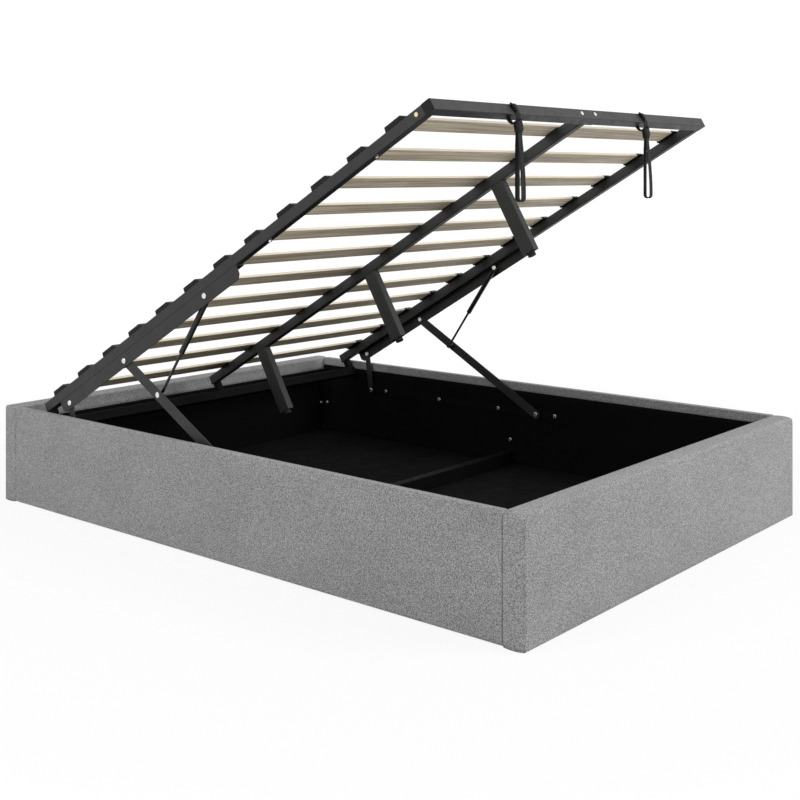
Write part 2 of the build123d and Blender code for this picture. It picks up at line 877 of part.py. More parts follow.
with BuildPart() as frame_bolts:
    for side in (-1, 1):
        front = Plane(
            origin=deck_point(side * end_bolt_spread, 0, end_bolt_drop),
            x_dir=(1, 0, 0),
            z_dir=-deck.y_dir,
        )
        domed_head(front, small_bolt_radius, 0, bolt_head_height)
        disc(front, small_shank_radius, -foot_tube_width - end_plate_thickness - nut_height, 0)
        nut_plane = front.offset(-foot_tube_width - end_plate_thickness - nut_height)
        with BuildSketch(nut_plane):
            RegularPolygon(nut_radius, 6)
        extrude(amount=nut_height)
    with BuildPart(mode=Mode.PRIVATE) as left_bolts:
        corner = deck_point(deck_margin - half_width, corner_bolt_along, corner_bolt_drop)
        domed_head(
            Plane(origin=corner, x_dir=deck.y_dir, z_dir=(-1, 0, 0)),
            small_bolt_radius,
            0,
            bolt_head_height,
        )
        for share in under_nut_shares:
            under = Plane(
                origin=deck_point(side_tube_x, share * angle_foot_along, tube_height),
                x_dir=(1, 0, 0),
                z_dir=-deck.z_dir,
            )
            with BuildSketch(under):
                RegularPolygon(nut_radius, 6)
            extrude(amount=nut_height)
    add(left_bolts.part)
    mirror(left_bolts.part, about=Plane.YZ)

save_piece(frame_bolts, "frame_bolts")

# Lifting straps: webbing hitched round the foot tube, and a hand loop that hangs from it

strap_places = {"left": -left_strap_offset, "right": right_strap_offset}
hitch_eye = foot_plane.to_local_coords(strap_pivot + Vector(0, 0, hitch_eye_rise))

with BuildSketch() as inside_hitch:
    RectangleRounded(foot_tube_width, tube_height, tube_corner)
    with Locations((hitch_eye.X, hitch_eye.Y)):
        Circle(hitch_eye_radius)
    make_hull()

with BuildPart() as strap_hitches:
    for across in strap_places.values():
        hitch_start = tube_end + across - webbing_width / 2
        with BuildSketch(foot_plane.offset(hitch_start)):
            offset(inside_hitch.sketch, amount=webbing_thickness)
            add(inside_hitch.sketch, mode=Mode.SUBTRACT)
        extrude(amount=webbing_width)

save_piece(strap_hitches, "strap_hitches")

loop_centre = loop_radius - loop_length - knot_height


def teardrop(top, half_neck, radius):
    """Closed outline: a narrow top whose two sides run down tangent to a round foot."""
    reach = hypot(half_neck, top - loop_centre)
    turn = atan2(top - loop_centre, half_neck) - acos(radius / reach)
    side_y = loop_centre + radius * sin(turn)
    side_x = radius * cos(turn)
    with BuildLine() as outline:
        Polyline((-side_x, side_y), (-half_neck, top), (half_neck, top), (side_x, side_y))
        ThreePointArc((side_x, side_y), (0, loop_centre - radius), (-side_x, side_y))
    make_face(outline.edges())


for side, across in strap_places.items():
    with BuildPart() as pull_strap:
        knot_side = Plane(
            origin=(across - knot_width / 2, strap_pivot.Y, strap_pivot.Z),
            x_dir=(0, 1, 0),
            z_dir=(1, 0, 0),
        )
        with BuildSketch(knot_side):
            Circle(knot_depth / 2)
            with Locations((0, -knot_height / 2)):
                Rectangle(knot_depth, knot_height)
        extrude(amount=knot_width)
        lower_ends = pull_strap.edges().group_by(Axis.Z)[0].filter_by(Axis.Y)
        fillet(lower_ends, knot_radius)
        with BuildSketch(knot_side.offset((knot_width - webbing_width) / 2)):
            teardrop(-knot_height + knot_radius, loop_neck, loop_radius)
        extrude(amount=webbing_width)
        with BuildSketch(knot_side):
            teardrop(-knot_height - knot_radius, loop_start_gap, loop_radius - webbing_thickness)
        extrude(amount=knot_width, mode=Mode.SUBTRACT)
    save_piece(pull_strap, f"pull_strap_{side}")
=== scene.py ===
"""Ottoman storage bed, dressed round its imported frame.

The frame gives every rigid piece of the bed in its place. This script gives those pieces their
finishes and builds what is cloth: the padded covers of the box, its lining and the webbing of the
two lifting straps. Lengths are in metres. X runs across the bed, Y from the foot to the head and
Z up. The bed stands open.
"""

import json
import logging
import math
from collections.abc import Callable, Iterable, Sequence
from dataclasses import dataclass
from enum import Enum
from typing import ClassVar

import bmesh
import bpy
from mathutils import Euler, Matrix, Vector, noise


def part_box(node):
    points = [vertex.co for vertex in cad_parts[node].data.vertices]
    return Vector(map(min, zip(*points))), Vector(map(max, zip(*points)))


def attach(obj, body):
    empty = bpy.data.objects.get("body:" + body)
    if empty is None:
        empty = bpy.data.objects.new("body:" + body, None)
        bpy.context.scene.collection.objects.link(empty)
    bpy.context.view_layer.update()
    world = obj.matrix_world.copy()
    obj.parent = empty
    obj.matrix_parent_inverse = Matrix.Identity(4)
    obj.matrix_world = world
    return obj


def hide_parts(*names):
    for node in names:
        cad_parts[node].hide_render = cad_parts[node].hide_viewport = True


LOG = logging.getLogger("ottoman_bed")
DECK_TILT = math.radians(30.1)
LOOP_TURNS = {"left": math.radians(-90.0), "right": math.radians(-85.0)}

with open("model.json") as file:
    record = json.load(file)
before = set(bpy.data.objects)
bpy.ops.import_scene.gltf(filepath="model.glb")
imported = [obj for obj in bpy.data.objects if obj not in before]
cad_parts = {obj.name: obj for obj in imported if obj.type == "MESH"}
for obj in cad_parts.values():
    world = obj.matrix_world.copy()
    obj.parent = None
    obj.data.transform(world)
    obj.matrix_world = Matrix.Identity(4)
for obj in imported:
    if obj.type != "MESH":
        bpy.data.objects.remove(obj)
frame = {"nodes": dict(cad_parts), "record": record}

Pair = tuple[float, float]
Triple = tuple[float, float, float]
Node = bpy.types.Node
Socket = bpy.types.NodeSocket
Outputs = tuple[Socket, ...]
Material = bpy.types.Material
Piece = bpy.types.Object


class Graph:
    """Builder for the nodes of one material, world or effect."""

    def __init__(self, tree: bpy.types.NodeTree) -> None:
        """Take over a node tree."""
        self.tree = tree

    def node(self, kind: str, **settings: object) -> Node:
        """Add a node of one of Blender's types, and set its properties."""
        made = self.tree.nodes.new(kind)
        for name, value in settings.items():
            setattr(made, name, value)
        return made

    def feed(self, socket: Socket, value: object) -> None:
        """Link a socket to another one, or give it a plain value or colour."""
        if isinstance(value, bpy.types.NodeSocket):
            self.tree.links.new(value, socket)
        elif socket.type == "RGBA":
            socket.default_value = (*value, 1.0)
        else:
            socket.default_value = value

    def feed_all(self, node: Node, inputs: Iterable[object]) -> Node:
        """Feed a node's inputs in their order, and return the node."""
        for socket, given in zip(node.inputs, inputs):
            self.feed(socket, given)
        return node

    def wire(self, node: Node, values: dict[str, object]) -> Node:
        """Feed a node's inputs by their names, and return the node."""
        for name, given in values.items():
            self.feed(node.inputs[name], given)
        return node

    def value(self, operation: str, *inputs: object) -> Socket:
        """Result of a Math node."""
        return self.feed_all(self.node("ShaderNodeMath", operation=operation), inputs).outputs[0]

    def vector(self, operation: str, *inputs: object) -> Node:
        """Vector Math node, whose first output is a vector and second a value."""
        return self.feed_all(self.node("ShaderNodeVectorMath", operation=operation), inputs)

    def scaled(self, vector: object, factor: object) -> Socket:
        """Vector times one number."""
        return self.wire(self.vector("SCALE", vector), {"Scale": factor}).outputs[0]

    def stretched(self, vector: object, *sizes: object) -> Socket:
        """Vector times a number for each of its parts."""
        stretch = self.feed_all(self.node("ShaderNodeCombineXYZ"), sizes)
        return self.vector("MULTIPLY", vector, stretch.outputs[0]).outputs[0]

    def parts(self, vector: object) -> Sequence[Socket]:
        """X, Y and Z of a vector."""
        return self.feed_all(self.node("ShaderNodeSeparateXYZ"), (vector,)).outputs

    def spread(
        self, value: object, span: Sequence[object], onto: Sequence[object] = (0.0, 1.0)
    ) -> Socket:
        """Map a value from one span onto another, held within it."""
        names = ("Value", "From Min", "From Max", "To Min", "To Max")
        given = dict(zip(names, (value, *span, *onto)))
        return self.wire(self.node("ShaderNodeMapRange"), given).outputs["Result"]

    def blend(self, factor: object, first: object, second: object) -> Socket:
        """Colour between two colours."""
        made = self.node("ShaderNodeMix", data_type="RGBA")
        return self.wire(made, {"Factor": factor, "A": first, "B": second}).outputs["Result"]

    def cloud(self, vector: object, scale: object, detail: float) -> Socket:
        """Value of a noise texture, about a half on average."""
        given = {"Vector": vector, "Scale": scale, "Detail": detail}
        return self.wire(self.node("ShaderNodeTexNoise"), given).outputs["Fac"]

    def bump(self, height: Socket, depth: float, strength: float) -> Socket:
        """Normal that a relief gives, from its height, its depth and how much of it shows."""
        given = {"Height": height, "Distance": depth, "Strength": strength}
        return self.wire(self.node("ShaderNodeBump"), given).outputs["Normal"]

    def place(self) -> Socket:
        """Place on the piece, in metres."""
        return self.node("ShaderNodeTexCoord").outputs["Object"]

    def facing(self) -> Socket:
        """The way that the piece's surface looks."""
        return self.node("ShaderNodeTexCoord").outputs["Normal"]


class Effect(Enum):
    """Surface effects that more than one finish shares."""

    WEAVE = "woven yarns"
    GRAIN = "wood grain"
    # Painted highlight: a lighter colour along sharp edges, where light catches them.
    EDGE_HIGHLIGHT = "painted edge highlight"
    MOTTLE = "uneven surface"


class Effects:
    """The node groups of the shared effects, each made once."""

    off_lattice = (0.7, 0.4, 0.9)
    heather_share = 2.2
    fleck_share = 0.6
    heather_span = (1.38, 2.02)
    heather_relief = 0.25
    crossing_relief = 0.6
    band_share = 0.75
    pore_scale = 9.0
    grain_span = (0.38, 0.62)
    edge_radius = 0.0016
    edge_span = (0.995, 0.86)
    patch_span = (0.42, 0.62)
    cloud_span = (0.35, 0.65)

    def __init__(self) -> None:
        """Make every group."""
        self.groups = {
            effect: self._group(effect, inputs, outputs, body)
            for effect, inputs, outputs, body in (
                (Effect.WEAVE, {"Yarn": 0.002, "Slub": 0.012}, ("Tone", "Height"), self._weave),
                (Effect.GRAIN, {"Streak": 0.006, "Length": 0.35}, ("Tone", "Height"), self._grain),
                # The edge effect paints a highlight along sharp edges.
                (Effect.EDGE_HIGHLIGHT, {"Patch": 0.03}, ("Edge",), self._edge_highlight),
                (Effect.MOTTLE, {"Size": 0.1, "Low": 0.4, "High": 0.6}, ("Value",), self._mottle),
            )
        }

    @staticmethod
    def _group(
        effect: Effect,
        inputs: dict[str, float],
        outputs: Sequence[str],
        body: Callable[..., Outputs],
    ) -> bpy.types.NodeTree:
        """Make one group, which gets the place on the piece besides the inputs named here."""
        group = bpy.data.node_groups.new(effect.value, "ShaderNodeTree")
        sockets = group.interface
        sockets.new_socket("Place", in_out="INPUT", socket_type="NodeSocketVector")
        for name, default in inputs.items():
            socket = sockets.new_socket(name, in_out="INPUT", socket_type="NodeSocketFloat")
            socket.default_value = default
        for name in outputs:
            sockets.new_socket(name, in_out="OUTPUT", socket_type="NodeSocketFloat")
        graph = Graph(group)
        given = graph.node("NodeGroupInput").outputs
        results = body(graph, *(given[name] for name in ("Place", *inputs)))
        graph.feed_all(graph.node("NodeGroupOutput"), results)
        return group

    def _weave(self, graph: Graph, place: Socket, yarn: Socket, slub: Socket) -> Outputs:
        """Crossing yarns on whichever way a face looks, with thick and thin stretches."""
        facing = graph.facing()
        squared = graph.vector("MULTIPLY", facing, facing).outputs[0]
        weights = graph.parts(graph.vector("MULTIPLY", squared, squared).outputs[0])
        turns = graph.scaled(place, graph.value("DIVIDE", math.pi, yarn))
        waved = graph.vector("SINE", turns).outputs[0]
        waves = graph.parts(graph.vector("ABSOLUTE", waved).outputs[0])
        crossing = 0.0
        for axis, weight in enumerate(weights):
            pair = graph.value("MULTIPLY", waves[axis - 1], waves[axis - 2])
            crossing = graph.value("ADD", crossing, graph.value("MULTIPLY", pair, weight))
        thin = graph.value("DIVIDE", 1.0, yarn)
        long = graph.value("DIVIDE", 1.0, slub)
        turned = graph.node("ShaderNodeVectorRotate", rotation_type="EULER_XYZ")
        graph.wire(turned, {"Vector": place, "Rotation": self.off_lattice})
        cloud = graph.cloud(turned.outputs[0], thin, 0.5)
        heather = graph.value("MULTIPLY", cloud, self.heather_share)
        for sizes in ((long, long, thin), (thin, thin, long)):
            cloud = graph.cloud(graph.stretched(place, *sizes), 1.0, 1.0)
            flecks = graph.value("MULTIPLY", cloud, self.fleck_share)
            heather = graph.value("ADD", heather, flecks)
        relief = graph.value("MULTIPLY", heather, self.heather_relief)
        crossed = graph.value("MULTIPLY", crossing, self.crossing_relief)
        return graph.spread(heather, self.heather_span), graph.value("ADD", crossed, relief)

    def _grain(self, graph: Graph, place: Socket, streak: Socket, length: Socket) -> Outputs:
        """Wood fibres that run along X."""
        across = graph.value("DIVIDE", 1.0, streak)
        along = graph.value("DIVIDE", 1.0, length)
        fibres = graph.stretched(place, along, across, across)
        bands = graph.value("MULTIPLY", graph.cloud(fibres, 1.0, 3.0), self.band_share)
        pores = graph.cloud(fibres, self.pore_scale, 1.0)
        tone = graph.value("ADD", bands, graph.value("MULTIPLY", pores, 1.0 - self.band_share))
        return graph.spread(tone, self.grain_span), pores

    def _edge_highlight(self, graph: Graph, place: Socket, patch: Socket) -> Outputs:
        """Painted highlight along sharp edges: a lighter line, broken into patches."""
        eased = graph.node("ShaderNodeBevel", samples=4)
        eased.inputs["Radius"].default_value = self.edge_radius
        flat = graph.node("ShaderNodeNewGeometry").outputs["Normal"]
        likeness = graph.vector("DOT_PRODUCT", eased.outputs[0], flat).outputs["Value"]
        edge = graph.spread(likeness, self.edge_span)
        cloud = graph.cloud(place, graph.value("DIVIDE", 1.0, patch), 3.0)
        return (graph.value("MULTIPLY", edge, graph.spread(cloud, self.patch_span)),)

    def _mottle(
        self, graph: Graph, place: Socket, size: Socket, low: Socket, high: Socket
    ) -> Outputs:
        """Slow change of a value over the surface."""
        cloud = graph.cloud(place, graph.value("DIVIDE", 1.0, size), 4.0)
        return (graph.spread(cloud, self.cloud_span, (low, high)),)


class Surface(Graph):
    """Builder for the nodes of a finish, with the shared effects at hand."""

    def __init__(self, tree: bpy.types.NodeTree, effects: Effects) -> None:
        """Take over a material's nodes."""
        super().__init__(tree)
        self.effects = effects

    def add(self, effect: Effect, **values: float) -> dict[str, Socket]:
        """Place an effect, feed its inputs by their names, and return its outputs."""
        made = self.node("ShaderNodeGroup", node_tree=self.effects.groups[effect])
        return self.wire(made, {"Place": self.place(), **values}).outputs

    def mottle(self, size: float, low: float, high: float) -> Socket:
        """Value that wanders between two others, over patches of one size."""
        return self.add(Effect.MOTTLE, Size=size, Low=low, High=high)["Value"]


@dataclass(frozen=True)
class Finish:
    """What every finish has: its slot in the record, its roughness and how both wander.

    shade_range holds the darkest and the lightest share of the colour, and gloss_range what the
    roughness loses and gains.
    """

    slot: str
    roughness: float
    shade_patch: ClassVar[float]
    shade_range: ClassVar[Pair]
    gloss_patch: ClassVar[float]
    gloss_range: ClassVar[Pair]
    bump_strength: ClassVar[float]

    def material(self, effects: Effects) -> Material:
        """Build the finish as a material, out of the shared effects."""
        made = bpy.data.materials.new(f"finish_{self.slot}")
        made.use_nodes = True
        surface = Surface(made.node_tree, effects)
        shader = made.node_tree.nodes["Principled BSDF"]
        surface.wire(shader, {"Roughness": self.roughness, **self.look(surface)})
        return made

    def look(self, surface: Surface) -> dict[str, object]:
        """What the inputs of the finish's shader get, by name."""
        raise NotImplementedError

    def shade(self, surface: Surface) -> Socket:
        """Share of the colour that shows, over soft patches."""
        return surface.mottle(self.shade_patch, *self.shade_range)

    def gloss(self, surface: Surface) -> Socket:
        """Roughness over soft patches."""
        less, more = self.gloss_range
        return surface.mottle(self.gloss_patch, self.roughness - less, self.roughness + more)


@dataclass(frozen=True)
class Cloth(Finish):
    """Woven cloth: two yarn colours, the yarn's width, the slubs' length and a relief."""

    dark: Triple
    light: Triple
    yarn: float
    slub: float
    relief: float
    sheen: float
    specular: float
    shade_patch = 0.16
    shade_range = (0.95, 1.04)
    bump_strength = 0.7
    sheen_roughness = 0.5

    def look(self, surface: Surface) -> dict[str, object]:
        """Heathered yarns with a soft sheen and faint shading over each panel."""
        weave = surface.add(Effect.WEAVE, Yarn=self.yarn, Slub=self.slub)
        yarns = surface.blend(weave["Tone"], self.dark, self.light)
        return {
            "Base Color": surface.scaled(yarns, self.shade(surface)),
            "Normal": surface.bump(weave["Height"], self.relief, self.bump_strength),
            "Sheen Weight": self.sheen,
            "Sheen Roughness": self.sheen_roughness,
            "Specular IOR Level": self.specular,
        }


@dataclass(frozen=True)
class Painted(Finish):
    """Powder coat or sprayed paint over steel, with a fine grain and a painted highlight along
    sharp edges.
    """

    colour: Triple
    highlight_colour: Triple
    grain: float
    specular: float
    relief: float = 0.0002
    coat: float = 0.0
    shade_patch = 0.07
    shade_range = (0.86, 1.14)
    gloss_patch = 0.02
    gloss_range = (0.06, 0.06)
    bump_strength = 0.35
    highlight_patch = 0.04

    def look(self, surface: Surface) -> dict[str, object]:
        """Even colour, fine peel, uneven gloss and a painted highlight line on the edges."""
        # Painted highlight: sharp edges are given the lighter second colour.
        edge = surface.add(Effect.EDGE_HIGHLIGHT, Patch=self.highlight_patch)["Edge"]
        highlighted = surface.blend(edge, self.colour, self.highlight_colour)
        grain = surface.cloud(surface.place(), 1.0 / self.grain, 1.0)
        return {
            "Base Color": surface.scaled(highlighted, self.shade(surface)),
            "Roughness": self.gloss(surface),
            "Normal": surface.bump(grain, self.relief, self.bump_strength),
            "Coat Weight": self.coat,
            "Specular IOR Level": self.specular,
        }


@dataclass(frozen=True)
class Moulded(Painted):
    """Moulded plastic or covered board, whose gloss and shade wander more than a paint's."""

    shade_patch = 0.09
    shade_range = (0.8, 1.2)
    gloss_patch = 0.03
    gloss_range = (0.08, 0.08)
    bump_strength = 0.5
    highlight_patch = 0.02


@dataclass(frozen=True)
class Metal(Finish):
    """Bare or plated metal, with an optional second plating high on the sides of the frame."""

    dullest: float
    colour: Triple
    side_colour: Triple | None = None
    side_from = 0.6
    side_above = 1.15
    dull_patch = 0.006
    gloss_patch = 0.004
    gloss_range = (0.07, 0.1)
    bump_strength = 0.4
    scratch_scale = 2500.0
    scratch_depth = 0.00005

    def look(self, surface: Surface) -> dict[str, object]:
        """Fine brushing, uneven gloss and slightly dulled patches."""
        colour: object = self.colour
        if self.side_colour is not None:
            across, _, height = surface.parts(surface.place())
            aside = surface.value("ABSOLUTE", across)
            beside = surface.value("GREATER_THAN", aside, self.side_from)
            above = surface.value("GREATER_THAN", height, self.side_above)
            mask = surface.value("MULTIPLY", beside, above)
            colour = surface.blend(mask, self.colour, self.side_colour)
        scratch = surface.cloud(surface.place(), self.scratch_scale, 2.0)
        dulling = surface.mottle(self.dull_patch, self.dullest, 1.0)
        return {
            "Base Color": surface.scaled(colour, dulling),
            "Roughness": self.gloss(surface),
            "Normal": surface.bump(scratch, self.scratch_depth, self.bump_strength),
            "Metallic": 1.0,
        }


@dataclass(frozen=True)
class Timber(Finish):
    """Laminated wood: faces with streaks and edges where the plies show."""

    face_dark: Triple
    face_light: Triple
    edge_dark: Triple
    edge_light: Triple
    face_normal: Vector
    ply: float
    streak = 0.007
    fibre = 0.32
    face_span = (0.4, 0.75)
    gloss_patch = 0.05
    gloss_range = (0.08, 0.08)
    bump_strength = 0.35
    pore_depth = 0.0003

    def look(self, surface: Surface) -> dict[str, object]:
        """Fibres along the slat, plies across its edges."""
        normal = tuple(self.face_normal)
        grain = surface.add(Effect.GRAIN, Streak=self.streak, Length=self.fibre)
        face = surface.blend(grain["Tone"], self.face_dark, self.face_light)
        height = surface.vector("DOT_PRODUCT", surface.place(), normal).outputs["Value"]
        turns = surface.value("MULTIPLY", height, 2.0 * math.pi / self.ply)
        plies = surface.spread(surface.value("SINE", turns), (-1.0, 1.0), (0.0, 0.5))
        fibres = surface.value("MULTIPLY", grain["Tone"], 0.5)
        mixed = surface.value("ADD", plies, fibres)
        edge = surface.blend(mixed, self.edge_dark, self.edge_light)
        turned = surface.vector("DOT_PRODUCT", surface.facing(), normal).outputs["Value"]
        on_face = surface.spread(surface.value("ABSOLUTE", turned), self.face_span)
        return {
            "Base Color": surface.blend(on_face, edge, face),
            "Roughness": self.gloss(surface),
            "Normal": surface.bump(grain["Height"], self.pore_depth, self.bump_strength),
        }


def finishes(deck_normal: Vector) -> tuple[Finish, ...]:
    """List the finish of each slot of the record, for a deck whose slats' faces look one way."""
    return (
        Cloth(
            "upholstery", 0.95, dark=(0.160, 0.160, 0.161), light=(0.448, 0.449, 0.451),
            yarn=0.0023, slub=0.0040, relief=0.0008, sheen=0.10, specular=0.15,
        ),
        Cloth(
            "lining", 0.97, dark=(0.0028, 0.0028, 0.0029), light=(0.0060, 0.0060, 0.0061),
            yarn=0.0012, slub=0.004, relief=0.0004, sheen=0.0, specular=0.05,
        ),
        Cloth(
            "webbing", 0.80, dark=(0.007, 0.007, 0.0072), light=(0.030, 0.030, 0.030),
            yarn=0.0016, slub=0.005, relief=0.0008, sheen=0.02, specular=0.15,
        ),
        # For paints and mouldings, the second colour is a painted highlight on their sharp edges.
        Painted(
            "powder_coat", 0.46, colour=(0.0165, 0.0164, 0.0161), highlight_colour=(0.045, 0.045, 0.045),
            grain=0.0009, specular=0.32,
        ),
        # Painted shade: a darker copy of the powder coat, for the plates, divider and brackets down
        # inside the box where shade falls.
        Painted(
            "black_coat", 0.50, colour=(0.0040, 0.0040, 0.0041), highlight_colour=(0.010, 0.010, 0.010),
            grain=0.0009, specular=0.05,
        ),
        Painted(
            "strut_paint", 0.34, colour=(0.007, 0.007, 0.007), highlight_colour=(0.03, 0.03, 0.03),
            grain=0.0012, specular=0.3, coat=0.1,
        ),
        Metal(
            "zinc", 0.26, dullest=0.82, colour=(0.78, 0.78, 0.77), side_colour=(0.72, 0.60, 0.38)
        ),
        Metal("rod_steel", 0.30, dullest=0.80, colour=(0.055, 0.055, 0.057)),
        Timber(
            "slat_wood", 0.60, face_dark=(0.50, 0.41, 0.295), face_light=(0.88, 0.78, 0.60),
            edge_dark=(0.80, 0.71, 0.55), edge_light=(0.93, 0.86, 0.70),
            face_normal=deck_normal, ply=0.0016,
        ),
        Moulded(
            "black_plastic", 0.55, colour=(0.007, 0.007, 0.0072), highlight_colour=(0.0154, 0.0154, 0.01584),
            grain=0.0007, relief=0.0003, specular=0.15,
        ),
        Moulded(
            "floor_board", 0.85, colour=(0.0056, 0.0056, 0.0057),
            highlight_colour=(0.01232, 0.01232, 0.01254), grain=0.0016, relief=0.0003, specular=0.03,
        ),
        Moulded(
            "board_wood", 0.80, colour=(0.52, 0.41, 0.28), highlight_colour=(1.0, 0.902, 0.616),
            grain=0.004, relief=0.0006, specular=0.3,
        ),
    )


def mesh_object(
    name: str,
    points: Iterable[Sequence[float]],
    faces: Iterable[Sequence[int]],
    finish: Material,
) -> Piece:
    """Make a smooth-shaded piece, and put it in the scene."""
    mesh = bpy.data.meshes.new(name)
    mesh.from_pydata([tuple(point) for point in points], [], [tuple(face) for face in faces])
    mesh.validate()
    mesh.polygons.foreach_set("use_smooth", [True] * len(mesh.polygons))
    mesh.materials.append(finish)
    piece = bpy.data.objects.new(name, mesh)
    bpy.context.scene.collection.objects.link(piece)
    return piece


def rim_of(grid: Sequence[Sequence[object]]) -> list:
    """What lies on the rim of a grid, once round."""
    far_side = [row[-1] for row in reversed(grid)]
    return [*(row[0] for row in grid), *grid[-1][1:-1], *far_side, *grid[0][-2:0:-1]]


class Form:
    """Points and faces of a closed piece, as it is built up."""

    def __init__(self) -> None:
        """Start with nothing."""
        self.points: list[Vector] = []
        self.faces: list[tuple[int, ...]] = []

    def add(self, places: Iterable[Vector]) -> list[int]:
        """Add points, and return their numbers."""
        first = len(self.points)
        self.points += places
        return list(range(first, len(self.points)))

    def fill(self, rows: Iterable[Iterable[Vector]]) -> list[int]:
        """Add a grid of points and its faces, and return the ring round its rim."""
        grid = [self.add(row) for row in rows]
        for lower, upper in zip(grid, grid[1:]):
            for column in range(len(lower) - 1):
                after = column + 1
                self.faces.append((lower[column], lower[after], upper[after], upper[column]))
        return rim_of(grid)

    def band(self, rings: Sequence[Sequence[int]]) -> None:
        """Join rings of points, one after the other."""
        for first, second in zip(rings, rings[1:]):
            for index, start in enumerate(first):
                after = (index + 1) % len(first)
                self.faces.append((start, first[after], second[after], second[index]))

    def tube(self, rings: Sequence[Sequence[int]]) -> None:
        """Join rings of points, one after the other, and close the two ends."""
        self.band(rings)
        self.faces += [tuple(reversed(rings[0])), tuple(rings[-1])]

    def piece(self, name: str, finish: Material) -> Piece:
        """Make the piece, with every face turned outwards."""
        made = mesh_object(name, self.points, self.faces, finish)
        work = bmesh.new()
        work.from_mesh(made.data)
        bmesh.ops.recalc_face_normals(work, faces=work.faces)
        work.to_mesh(made.data)
        work.free()
        return made


class Run(Enum):
    """Which way a panel of the box runs."""

    ACROSS = "x"
    ALONG = "y"

    def place(self, along: float, out: float, height: float) -> Vector:
        """Place in the bed's frame, from one along the run, one out of it and a height."""
        return Vector((along, out, height) if self is Run.ACROSS else (out, along, height))


@dataclass(frozen=True)
class PanelShape:
    """How a padded panel is rounded, crowned and turned over onto the inside."""

    corner: float
    inner_edge: float
    edge: float = 0.006
    crown: float = 0.0015
    rim_crown: float = 0.0022
    turnover: float = 0.045
    end_gap: float = 0.0


@dataclass(frozen=True)
class Level:
    """One ring round a panel: how far it is drawn in, and how deep it lies from a face."""

    inset: float
    depth: float
    from_back: bool = False


